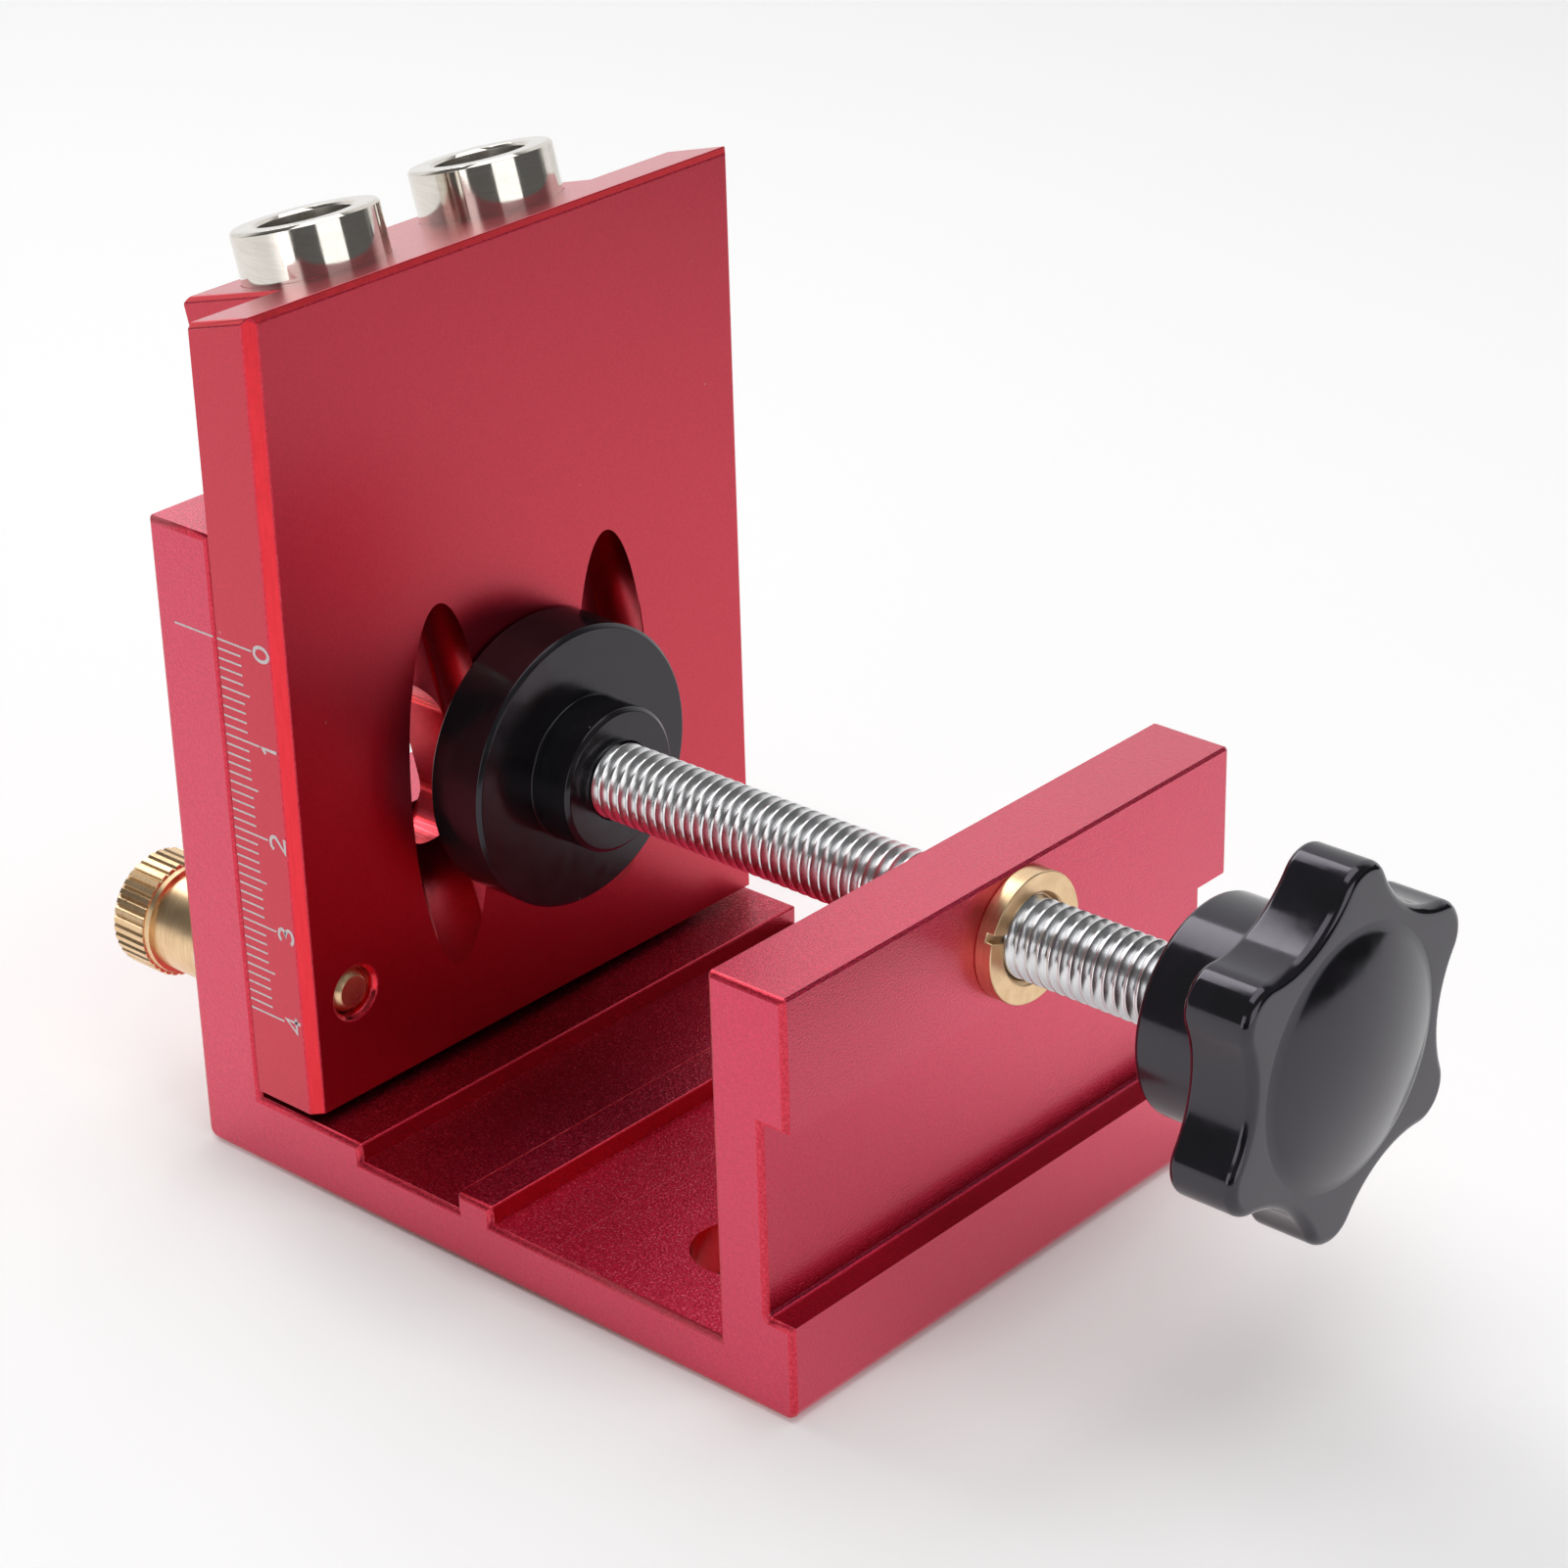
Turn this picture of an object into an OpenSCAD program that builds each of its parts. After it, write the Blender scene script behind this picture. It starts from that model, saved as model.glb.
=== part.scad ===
// Two-hole pocket-hole drilling jig with a sliding guide block and a screw clamp.
// +X runs along the clamp screw towards the knob, +Y to the right seen from the knob, +Z is up.
// The origin is the centre of the base's underside.

/* [Base] */
// Length of the base along the clamp screw
base_l = 80; // [78:0.5:110]
// Width of the base and of the guide block
base_w = 65; // [63:0.5:90]
// Thickness of the floor
floor_t = 5.5; // [3:0.1:7]
// Height of the ledge and of the rib above the underside
ledge_h = 7.5; // [7.1:0.1:10]
// Length of the ledge in front of the rear wall
ledge_l = 14.6; // [10:0.1:16]
// Width of the groove between ledge and rib
groove_l = 13.6; // [8:0.1:16]
// Width of the rib
rib_l = 4.6; // [2:0.1:8]
// Thickness of the rear wall
rear_wall_t = 8.5; // [6:0.1:12]
// Height of the rear wall above the upper centre of the lock slot
rear_rim = 8.5; // [6:0.1:14]
// Thickness of the front wall
front_wall_t = 9; // [7:0.1:12]
// Height of the front wall above the clamp axis
front_rim = 6.8; // [6.8:0.1:12]
// Chamfer along the upper edges of the front wall
front_c = 0.3; // [0.2:0.1:1]
// Distance from the clamp axis down to the recess in the front wall
recess_drop = 6.8; // [6.8:0.1:12]
// Depth of the recess in the front wall
recess_d = 3.1; // [1:0.1:4]
// Height of the foot below the recess
foot_h = 10; // [7:0.1:14]
// Fillet where the recess meets the foot
recess_r = 0.5; // [0.5:0.1:3]
// Rounding of the lower corners
corner_r = 1.2; // [0.3:0.1:2.5]
// Rounding of the lower corners of the cut-out in the rear wall
cut_r = 1.5; // [0.5:0.1:1.8]

/* [Bench holes] */
// Diameter of the two bench holes in the floor
bench_hole_d = 9.6; // [5:0.1:12]
// Distance of the bench holes from the front wall
bench_hole_inset = 8.7; // [7:0.1:14]
// Distance between the bench holes
bench_hole_spacing = 40.2; // [25:0.1:48]

/* [Guide block] */
// Thickness of the slab
slab_t = 8.6; // [7.5:0.1:10]
// Height of the slab's front face
slab_h = 83.6; // [80:0.1:96]
// Gap between the slab and the ledge at the lowest setting
block_lift = 0.95; // [0.3:0.05:3]
// Tilt of the drill bores
drill_angle = 15; // [13:0.5:17]
// Distance between the drill bores
drill_spacing = 23.5; // [19:0.1:25]
// Diameter of the bores below the bushings
drill_bore_d = 10.3; // [9.9:0.1:11.5]
// Wall of the boss around the bushings
boss_wall = 2.05; // [1.4:0.05:2.8]
// Width of the chip windows
window_w = 8; // [5:0.1:9]
// Height of the chip windows
window_h = 16.1; // [10:0.1:18]
// Height of the window centres above the clamp axis
window_rise = 1.05; // [0:0.05:2]
// Chamfer on the slab's upright front edges
face_c = 1.1; // [0.3:0.1:2]
// Chamfer on the slab's upper front edge
top_c = 0.8; // [0.3:0.1:1.5]
// Chamfer on the upper side edges of the slab and of the boss
edge_c = 0.5; // [0.2:0.1:1]
// Rounding of the boss's upper rear edge
boss_r = 1; // [0.3:0.1:1.5]
// Countersink around the lock screw's hole
sink_c = 0.45; // [0.2:0.05:0.8]

/* [Drill bushings] */
// Outer diameter of the bushings
bush_d = 14.8; // [13:0.1:15.5]
// Bore of the bushings, for the step drill
bush_bore_d = 9.5; // [8:0.1:9.8]
// Length of the bushings
bush_l = 25; // [15:0.5:26]
// Length of the bushings that stands out of the block
bush_proud = 5.2; // [3:0.1:8]
// Chamfer on the bushings' upper edges
bush_c = 0.3; // [0.2:0.1:1]

/* [Lock screw] */
// Thread diameter of the lock screw
lock_d = 5; // [4:0.1:5.5]
// Distance of the lock screw from the middle of the post beside the cut-out, towards the cut-out
lock_shift = 0.75; // [0:0.05:1]
// Height of the lock screw at the lowest setting
lock_z = 20; // [17:0.5:24]
// Travel of the guide block
lock_travel = 40; // [20:1:44]
// Diameter of the knurled head
lock_head_d = 12.5; // [11:0.1:16]
// Length of the knurled head
lock_head_l = 5.5; // [4:0.1:9]
// Chamfer at both ends of the head
lock_head_c = 0.6; // [0.3:0.1:1]
// Number of teeth of the knurl
knurl_teeth = 38; // [24:1:60]
// Depth of the knurl
knurl_depth = 0.3; // [0.1:0.05:0.5]
// Diameter of the neck in front of the head
lock_neck_d = 10.6; // [7:0.1:10.8]
// Length of the neck
lock_neck_l = 6.45; // [3:0.05:10]
// Depth of the screw's tip below the slab's face
lock_tip_in = 0.3; // [0.1:0.1:2]
// Chamfer at the screw's tip
lock_tip_c = 0.8; // [0.3:0.1:1.2]
// Outer diameter of the washer
washer_d = 11; // [8:0.1:12.4]
// Thickness of the washer
washer_t = 0.8; // [0.5:0.1:1.5]

/* [Clamp screw and nut] */
// Height of the clamp axis
clamp_z = 37; // [35:0.5:40]
// Thread diameter of the clamp screw
screw_d = 8; // [7:0.1:9]
// Diameter of the screw's journal in the pad
journal_d = 6; // [5.5:0.1:6.5]
// Diameter of the groove for the retaining ring
groove_d = 5; // [4:0.1:5.2]
// Chamfer at the end of the journal
journal_c = 0.4; // [0.2:0.1:0.8]
// Width across the flats of the screw's head inside the knob
head_af = 13; // [11:0.1:15]
// Height of the screw's head
head_h = 5.3; // [4:0.1:6]
// Diameter of the nut's body in the front wall
nut_d = 10; // [9.6:0.1:11]
// Diameter of the nut's flange
nut_flange_d = 13; // [12:0.1:13.4]
// Thickness of the nut's flange
nut_flange_t = 1.9; // [1.4:0.1:4]
// Width of the driver slot across the flange
nut_slot_w = 0.8; // [0.6:0.05:2]
// Depth of the driver slot
nut_slot_d = 0.8; // [0.5:0.1:1.2]
// Turn of the driver slot out of the level
nut_turn = -21; // [-90:1:90]
// Chamfer at the mouth of the nut's thread
nut_c = 0.55; // [0.2:0.05:0.6]

/* [Pressure pad] */
// Diameter of the pad
pad_d = 29.6; // [24:0.1:36]
// Thickness of the pad's disc
pad_t = 7; // [6:0.1:10]
// Chamfer around the pad's rim
pad_c = 0.4; // [0.2:0.1:1]
// Diameter of the collar
pad_collar_d = 15.1; // [12:0.1:20]
// Length of the collar
pad_collar_l = 5; // [3:0.1:8]
// Depth of the socket that takes the end of the thread
pad_socket_l = 5; // [3:0.1:6]
// Diameter of the recess for the retaining ring
pad_recess_d = 12.4; // [11.8:0.1:16]
// Depth of the recess
pad_recess_l = 2.6; // [2.2:0.1:3]
// Outer diameter of the retaining ring
ring_d = 11; // [9:0.1:11.4]
// Thickness of the retaining ring
ring_t = 0.8; // [0.5:0.1:1]
// Width of the gap in the retaining ring
ring_split = 4.4; // [2:0.1:4.8]
// Depth of the screw's end below the pad's face
screw_tip_in = 0.5; // [0.2:0.1:0.8]

/* [Star knob] */
// Distance between the nut and the knob with the clamp closed
knob_gap = 19.2; // [5:0.1:60]
// Diameter of the knob's hub
hub_d = 21.3; // [18.5:0.1:26]
// Length of the hub
hub_l = 8.6; // [6:0.1:14]
// Thickness of the star
star_l = 7; // [6:0.1:12]
// Number of lobes
lobes = 6; // [5:1:8]
// Diameter over the lobes
star_d = 36.6; // [35.8:0.1:44]
// Radius of the lobes
lobe_r = 3.6; // [2.8:0.1:4.4]
// Diameter over the valleys between the lobes
valley_d = 29; // [27:0.1:29.6]
// Turn of the first lobe away from the horizontal
lobe_turn = 23.7; // [0:0.1:60]
// Diameter of the dome on the star
dome_d = 25; // [16:0.1:26]
// Height of the dome
dome_h = 2.3; // [1:0.1:5]
// Chamfer on the hub's lower edge
hub_c = 0.6; // [0.2:0.1:1.5]
// Thickness of the hub below the screw's head
hub_floor = 5; // [3:0.1:6]

/* [Fits] */
// Gap between the slab and the rear wall
slide_gap = 0.1; // [0.05:0.05:0.4]
// Gap between the boss and the sides of the cut-out
cut_gap = 0.2; // [0.1:0.05:0.5]
// Gap between the lower end of the boss and the bottom of the cut-out
toe_gap = 0.9; // [0.5:0.1:3]
// Gap around the lock screw in the slot
slot_gap = 0.3; // [0.2:0.05:0.4]
// Gap between the pad and the slab with the clamp closed
pad_gap = 0.2; // [0.1:0.05:0.5]
// Gap around the thread in the mouth of the pad's socket
socket_gap = 0.3; // [0.2:0.05:0.5]
// Radial gap of pieces that turn in each other
run_gap = 0.05; // [0.02:0.01:0.08]
// Radial gap of pieces that are pressed or moulded together
press_gap = 0.02; // [0.01:0.01:0.05]

/* [Hidden] */
$fn = 96;

// Colours of the finishes
red_blasted = "#c8405c";
red_satin = "#a81c34";
nickel = "#c9c9c6";
brass = "#c9a263";
zinc = "#c4c6c8";
black_gloss = "#17171a";
black_satin = "#2a292d";

// Overlap of cutting tools beyond the faces that they cut
over = 1;
// Depth by which the arc on the tilted edge crosses its faces, as mere touching would leave slivers
arc_bite = 0.03;

// Places along X, from the rear wall to the front wall
rear_x = -base_l / 2;
wall_face_x = rear_x + rear_wall_t;
slab_back_x = wall_face_x + slide_gap;
slab_face_x = slab_back_x + slab_t;
ledge_x = wall_face_x + ledge_l;
rib_x0 = ledge_x + groove_l;
rib_x1 = rib_x0 + rib_l;
front_x = base_l / 2;
front_in_x = front_x - front_wall_t;
recess_x = front_x - recess_d;
bench_hole_x = front_in_x - bench_hole_inset;

// Heights of the base
front_wall_h = clamp_z + front_rim;
recess_top = clamp_z - recess_drop;
rear_wall_h = lock_z + lock_travel + rear_rim;

// Bores of the guide block: they cross the slab's face at the height of the clamp axis
slab_z0 = ledge_h + block_lift;
slab_top_z = slab_z0 + slab_h;
bore_to_top = (slab_top_z - clamp_z) * cos(drill_angle);
bush_x = slab_face_x - bore_to_top * sin(drill_angle);
bush_z = clamp_z + bore_to_top * cos(drill_angle);
bore_l = bore_to_top + drill_bore_d / 2 / tan(drill_angle) + over;
seat_l = bush_l - bush_proud;

// Boss behind the slab, with its rear face parallel to the bores
boss_back = bush_d / 2 + boss_wall;
boss_w = drill_spacing + 2 * boss_back;
boss_rear_x = bush_x - boss_back * cos(drill_angle);
boss_rear_z = bush_z - boss_back * sin(drill_angle);
boss_toe_z = boss_rear_z - (slab_back_x - boss_rear_x) / tan(drill_angle);

// Cut-out in the rear wall
cut_w = boss_w + 2 * cut_gap;
cut_z = boss_toe_z - toe_gap;

// Lock screw, from its head to its tip
lock_y = -(base_w + cut_w) / 4 + lock_shift;
slot_w = lock_d + 2 * slot_gap;
washer_x = rear_x - washer_t;
lock_head_x1 = washer_x - lock_neck_l;
lock_head_x0 = lock_head_x1 - lock_head_l;
lock_tip_x = slab_face_x - lock_tip_in;
lock_hole_d = lock_d + 2 * run_gap;

// Clamp, from the pad to the knob
pad_x0 = slab_face_x + pad_gap;
pad_x1 = pad_x0 + pad_t;
collar_x1 = pad_x1 + pad_collar_l;
pad_step_x = collar_x1 - pad_socket_l;
pad_recess_x = pad_x0 + pad_recess_l;
ring_x = pad_recess_x - run_gap - ring_t;
shoulder_x = pad_step_x + run_gap;
screw_tip_x = pad_x0 + screw_tip_in;
nut_bore_d = screw_d + 2 * run_gap;
nut_face_x = front_x + nut_flange_t;
hub_x = nut_face_x + knob_gap;
star_x = hub_x + hub_l;
knob_face_x = star_x + star_l;
head_x = hub_x + hub_floor;

// Star outline: lobe circles joined by hollow circles that touch them
lobe_at = star_d / 2 - lobe_r;
valley_r = valley_d / 2;
half_step = 180 / lobes;
hollow_at = (pow(lobe_at, 2) - pow(valley_r - lobe_r, 2))
  / (2 * (lobe_at * cos(half_step) - valley_r + lobe_r));
hollow_r = hollow_at - valley_r;

// Dome on the star as a cap of a ball
dome_r = (pow(dome_d / 2, 2) + pow(dome_h, 2)) / (2 * dome_h);

// Point at a distance and an angle from the centre
function polar(r, a) = [r * cos(a), r * sin(a)];

// Extrudes an outline drawn in X and Z, centred on Y
module extrude_y(w) {
  rotate([90, 0, 0])
    linear_extrude(w, center = true)
      children();
}

// Extrudes an outline drawn in Y and Z along X
module extrude_x(x, l) {
  translate([x, 0, 0])
    rotate([90, 0, 90])
      linear_extrude(l)
        children();
}

// Turns shapes that stand on Z to lie along X, on the clamp axis
module on_clamp_axis(x) {
  translate([x, 0, clamp_z])
    rotate([0, 90, 0])
      children();
}

// The same on the axis of the lock screw
module on_lock_axis(x) {
  translate([x, lock_y, lock_z])
    rotate([0, 90, 0])
      children();
}

// Tilts shapes along the drill bores, with zero height at the block's top face
module on_bore_axis(y) {
  translate([bush_x, y, bush_z])
    rotate([0, -drill_angle, 0])
      children();
}

// Upright slot with round ends between two heights
module upright_slot(w, z0, z1) {
  translate([-w / 2, z0])
    square([w, z1 - z0]);
  for (z = [z0, z1])
    translate([0, z])
      circle(d = w);
}

// Waste at a convex corner that points to +X and +Y, outside a circle set back from both sides
module corner_waste(r, set_back) {
  translate([-set_back, -set_back])
    difference() {
      square(set_back + over);
      circle(r);
    }
}

// Waste at the same corner, outside a chamfer
module chamfer_waste(c) {
  polygon([[-c - over, over], [over, -c - over], [over, over]]);
}

module base_profile() {
  difference() {
    polygon([
      [rear_x, 0],
      [front_x, 0],
      [front_x, foot_h],
      [recess_x, foot_h],
      [recess_x, recess_top],
      [front_x, recess_top],
      [front_x, front_wall_h - front_c],
      [front_x - front_c, front_wall_h],
      [front_in_x + front_c, front_wall_h],
      [front_in_x, front_wall_h - front_c],
      [front_in_x, floor_t],
      [rib_x1, floor_t],
      [rib_x1, ledge_h],
      [rib_x0, ledge_h],
      [rib_x0, floor_t],
      [ledge_x, floor_t],
      [ledge_x, ledge_h],
      [wall_face_x, ledge_h],
      [wall_face_x, rear_wall_h],
      [rear_x, rear_wall_h]
    ]);
    translate([front_x, 0])
      mirror([0, 1])
        corner_waste(corner_r, corner_r);
    translate([rear_x, 0])
      rotate(180)
        corner_waste(corner_r, corner_r);
  }
  recess_fillet();
}

// Fillet between the recess and the top of the foot
module recess_fillet() {
  difference() {
    translate([recess_x - over, foot_h - over])
      square(recess_r + over);
    translate([recess_x + recess_r, foot_h + recess_r])
      circle(recess_r);
  }
}

// Opening for the boss, with rounded lower corners
module wall_cut_out() {
  translate([-cut_w / 2, cut_z + cut_r])
    square([cut_w, rear_wall_h - cut_z - cut_r + over]);
  translate([-cut_w / 2 + cut_r, cut_z])
    square([cut_w - 2 * cut_r, 2 * cut_r]);
  for (side = [-1, 1])
    translate([side * (cut_w / 2 - cut_r), cut_z + cut_r])
      circle(cut_r);
}

module base_frame() {
  color(red_blasted)
    difference() {
      extrude_y(base_w)
        base_profile();
      extrude_x(rear_x - over, rear_wall_t + 2 * over) {
        wall_cut_out();
        translate([lock_y, 0])
          upright_slot(slot_w, lock_z, lock_z + lock_travel);
      }
      on_clamp_axis(front_in_x - over)
        cylinder(d = nut_d, h = front_wall_t + 2 * over);
      for (side = [-1, 1])
        translate([bench_hole_x, side * bench_hole_spacing / 2, -over])
          cylinder(d = bench_hole_d, h = floor_t + 2 * over);
    }
}

// Outline of slab and boss seen from the side
module guide_profile() {
  difference() {
    polygon([
      [slab_back_x, slab_z0],
      [slab_face_x, slab_z0],
      [slab_face_x, slab_top_z],
      [boss_rear_x, boss_rear_z],
      [slab_back_x, boss_toe_z]
    ]);
    translate([boss_rear_x, boss_rear_z])
      rotate(drill_angle)
        mirror([1, 0])
          corner_waste(boss_r, boss_r - arc_bite);
    translate([slab_face_x, slab_top_z])
      rotate(drill_angle / 2)
        chamfer_waste(top_c);
  }
}

// Waste beside the boss, behind the slab, with a slope that chamfers the boss's upper edge
module beside_boss() {
  intersection() {
    translate([boss_rear_x - over, 0, slab_z0 - over])
      cube([slab_back_x - boss_rear_x + over, base_w, slab_h + 2 * over]);
    on_bore_axis(0)
      rotate([90, 0, 90])
        linear_extrude(2 * slab_h, center = true)
          polygon([
            [boss_w / 2, -2 * slab_h],
            [boss_w / 2, -edge_c],
            [boss_w / 2 - edge_c - over, over],
            [base_w, over],
            [base_w, -2 * slab_h]
          ]);
  }
}

module guide_body() {
  difference() {
    extrude_y(base_w)
      guide_profile();
    for (side = [0, 1])
      mirror([0, side, 0]) {
        beside_boss();
        on_bore_axis(base_w / 2)
          rotate([90, 0, 90])
            linear_extrude(2 * slab_h, center = true)
              chamfer_waste(edge_c);
        translate([slab_face_x, base_w / 2, slab_z0 - over])
          linear_extrude(slab_h + 2 * over)
            chamfer_waste(face_c);
      }
  }
}

module drill_bores() {
  for (side = [-1, 1]) {
    on_bore_axis(side * drill_spacing / 2) {
      translate([0, 0, -seat_l])
        cylinder(d = bush_d + 2 * press_gap, h = seat_l + over);
      translate([0, 0, -bore_l])
        cylinder(d = drill_bore_d, h = bore_l);
    }
    extrude_x(boss_rear_x - over, slab_face_x - boss_rear_x + 2 * over)
      translate([side * drill_spacing / 2, clamp_z + window_rise])
        upright_slot(window_w, (window_w - window_h) / 2, (window_h - window_w) / 2);
  }
}

module guide_block() {
  color(red_satin)
    difference() {
      guide_body();
      drill_bores();
      on_lock_axis(slab_back_x - over)
        cylinder(d = lock_hole_d, h = slab_t + 2 * over);
      on_lock_axis(slab_face_x - sink_c)
        cylinder(d1 = lock_hole_d, d2 = lock_hole_d + 4 * sink_c, h = 2 * sink_c);
    }
}

module drill_bushing(side) {
  color(nickel)
    on_bore_axis(side * drill_spacing / 2)
      rotate_extrude()
        polygon([
          [bush_bore_d / 2, -seat_l],
          [bush_d / 2, -seat_l],
          [bush_d / 2, bush_proud - bush_c],
          [bush_d / 2 - bush_c, bush_proud],
          [bush_bore_d / 2 + bush_c, bush_proud],
          [bush_bore_d / 2, bush_proud - bush_c]
        ]);
}

module drill_bushing_left() {
  drill_bushing(-1);
}

module drill_bushing_right() {
  drill_bushing(1);
}

// Knurled head: a toothed bar turned down to a chamfer at both ends
module lock_head() {
  intersection() {
    on_lock_axis(lock_head_x0)
      linear_extrude(lock_head_l)
        polygon([
          for (i = [0 : 2 * knurl_teeth - 1])
            polar(lock_head_d / 2 - (i % 2) * knurl_depth, i * 180 / knurl_teeth)
        ]);
    on_lock_axis(lock_head_x0)
      rotate_extrude()
        polygon([
          [0, 0],
          [lock_head_d / 2 - lock_head_c, 0],
          [lock_head_d / 2 + over, lock_head_c + over],
          [lock_head_d / 2 + over, lock_head_l - lock_head_c - over],
          [lock_head_d / 2 - lock_head_c, lock_head_l],
          [0, lock_head_l]
        ]);
  }
}

module lock_screw() {
  color(brass) {
    lock_head();
    on_lock_axis(0)
      rotate_extrude()
        polygon([
          [0, lock_head_x0 + lock_head_l / 2],
          [lock_neck_d / 2, lock_head_x0 + lock_head_l / 2],
          [lock_neck_d / 2, washer_x],
          [lock_d / 2, washer_x],
          [lock_d / 2, lock_tip_x - lock_tip_c],
          [lock_d / 2 - lock_tip_c, lock_tip_x],
          [0, lock_tip_x]
        ]);
  }
}

module lock_washer() {
  color(zinc)
    on_lock_axis(washer_x)
      difference() {
        cylinder(d = washer_d, h = washer_t);
        translate([0, 0, -over])
          cylinder(d = slot_w, h = washer_t + 2 * over);
      }
}

module clamp_nut() {
  color(brass)
    difference() {
      union() {
        on_clamp_axis(front_x)
          cylinder(d = nut_flange_d, h = nut_flange_t);
        on_clamp_axis(front_in_x)
          cylinder(d = nut_d - 2 * press_gap, h = front_wall_t + nut_flange_t / 2);
      }
      on_clamp_axis(front_in_x - over)
        cylinder(d = nut_bore_d, h = front_wall_t + nut_flange_t + 2 * over);
      on_clamp_axis(nut_face_x - nut_c)
        cylinder(d1 = nut_bore_d, d2 = nut_bore_d + 4 * nut_c, h = 2 * nut_c);
      translate([nut_face_x, 0, clamp_z])
        rotate([nut_turn, 0, 0])
          cube([2 * nut_slot_d, nut_flange_d + 2 * over, nut_slot_w], center = true);
    }
}

module clamp_screw() {
  color(zinc) {
    on_clamp_axis(0)
      rotate_extrude()
        polygon([
          [0, screw_tip_x],
          [journal_d / 2 - journal_c, screw_tip_x],
          [journal_d / 2, screw_tip_x + journal_c],
          [journal_d / 2, ring_x - run_gap],
          [groove_d / 2, ring_x - run_gap],
          [groove_d / 2, ring_x + ring_t + run_gap],
          [journal_d / 2, ring_x + ring_t + run_gap],
          [journal_d / 2, shoulder_x],
          [screw_d / 2, shoulder_x],
          [screw_d / 2, head_x + head_h / 2],
          [0, head_x + head_h / 2]
        ]);
    on_clamp_axis(head_x)
      cylinder(d = head_af / cos(30), h = head_h, $fn = 6);
  }
}

module star_outline() {
  difference() {
    union() {
      polygon([
        for (i = [0 : lobes - 1])
          each [polar(lobe_at, 2 * i * half_step), polar(hollow_at, (2 * i + 1) * half_step)]
      ]);
      for (i = [0 : lobes - 1])
        translate(polar(lobe_at, 2 * i * half_step))
          circle(lobe_r);
    }
    for (i = [0 : lobes - 1])
      translate(polar(hollow_at, (2 * i + 1) * half_step))
        circle(hollow_r);
  }
}

module knob_dome() {
  intersection() {
    on_clamp_axis(knob_face_x + dome_h - dome_r)
      sphere(dome_r);
    on_clamp_axis(knob_face_x - over)
      cylinder(d = dome_d, h = dome_h + 2 * over);
  }
}

module star_knob() {
  color(black_gloss)
    difference() {
      union() {
        on_clamp_axis(hub_x)
          cylinder(d1 = hub_d - 2 * hub_c, d2 = hub_d, h = hub_c);
        on_clamp_axis(hub_x + hub_c)
          cylinder(d = hub_d, h = hub_l);
        translate([0, 0, clamp_z])
          extrude_x(star_x, star_l)
            rotate(lobe_turn)
              star_outline();
        knob_dome();
      }
      on_clamp_axis(hub_x - over)
        cylinder(d = screw_d + 2 * press_gap, h = hub_floor + head_h / 2 + over);
      on_clamp_axis(head_x)
        cylinder(d = head_af / cos(30) + 2 * press_gap, h = head_h, $fn = 6);
    }
}

module pressure_pad() {
  color(black_satin)
    on_clamp_axis(0)
      rotate_extrude()
        polygon([
          [pad_recess_d / 2, pad_x0],
          [pad_d / 2 - pad_c, pad_x0],
          [pad_d / 2, pad_x0 + pad_c],
          [pad_d / 2, pad_x1 - pad_c],
          [pad_d / 2 - pad_c, pad_x1],
          [pad_collar_d / 2, pad_x1],
          [pad_collar_d / 2, collar_x1 - pad_c],
          [pad_collar_d / 2 - pad_c, collar_x1],
          [screw_d / 2 + socket_gap, collar_x1],
          [screw_d / 2 + socket_gap, pad_step_x],
          [journal_d / 2 + run_gap, pad_step_x],
          [journal_d / 2 + run_gap, pad_recess_x],
          [pad_recess_d / 2, pad_recess_x]
        ]);
}

module pad_retaining_ring() {
  color(zinc)
    on_clamp_axis(ring_x)
      difference() {
        cylinder(d = ring_d, h = ring_t);
        translate([0, 0, -over])
          cylinder(d = groove_d + 2 * run_gap, h = ring_t + 2 * over);
        translate([0, -ring_split / 2, -over])
          cube([ring_d, ring_split, ring_t + 2 * over]);
      }
}

base_frame();
guide_block();
drill_bushing_left();
drill_bushing_right();
lock_screw();
lock_washer();
clamp_nut();
clamp_screw();
star_knob();
pressure_pad();
pad_retaining_ring();
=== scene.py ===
"""Looks of a two-hole pocket-hole drilling jig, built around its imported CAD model."""

import math

import bmesh
import bpy
from mathutils import Matrix, Vector


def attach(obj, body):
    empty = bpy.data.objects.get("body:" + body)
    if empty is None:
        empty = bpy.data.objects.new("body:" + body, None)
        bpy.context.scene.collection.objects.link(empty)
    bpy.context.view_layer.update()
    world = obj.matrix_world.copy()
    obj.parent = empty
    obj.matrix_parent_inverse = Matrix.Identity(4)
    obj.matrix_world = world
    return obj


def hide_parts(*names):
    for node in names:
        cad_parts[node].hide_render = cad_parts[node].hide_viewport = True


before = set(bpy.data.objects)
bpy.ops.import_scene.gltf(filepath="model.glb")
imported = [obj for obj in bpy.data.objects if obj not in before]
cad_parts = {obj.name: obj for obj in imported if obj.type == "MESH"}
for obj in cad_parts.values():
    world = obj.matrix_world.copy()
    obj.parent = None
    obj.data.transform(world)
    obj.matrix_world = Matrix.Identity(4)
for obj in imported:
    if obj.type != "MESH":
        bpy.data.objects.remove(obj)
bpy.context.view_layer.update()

MM = 0.001
TURN = 2 * math.pi

# Places of the CAD model that the pieces below repeat, in millimetres
CLAMP_Z = 37.0
LOCK_Y, LOCK_Z = -26.2, 20.0
END_Y = 32.5
SIDE_Y = -END_Y
FLOOR_Z, LEDGE_Z = 5.5, 7.5
RIB_BACK_X, RIB_FRONT_X, FRONT_WALL_X = -3.3, 1.3, 31.0
BENCH_HOLE_X, BENCH_HOLE_Y, BENCH_HOLE_R = 22.3, 20.1, 4.8
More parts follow.
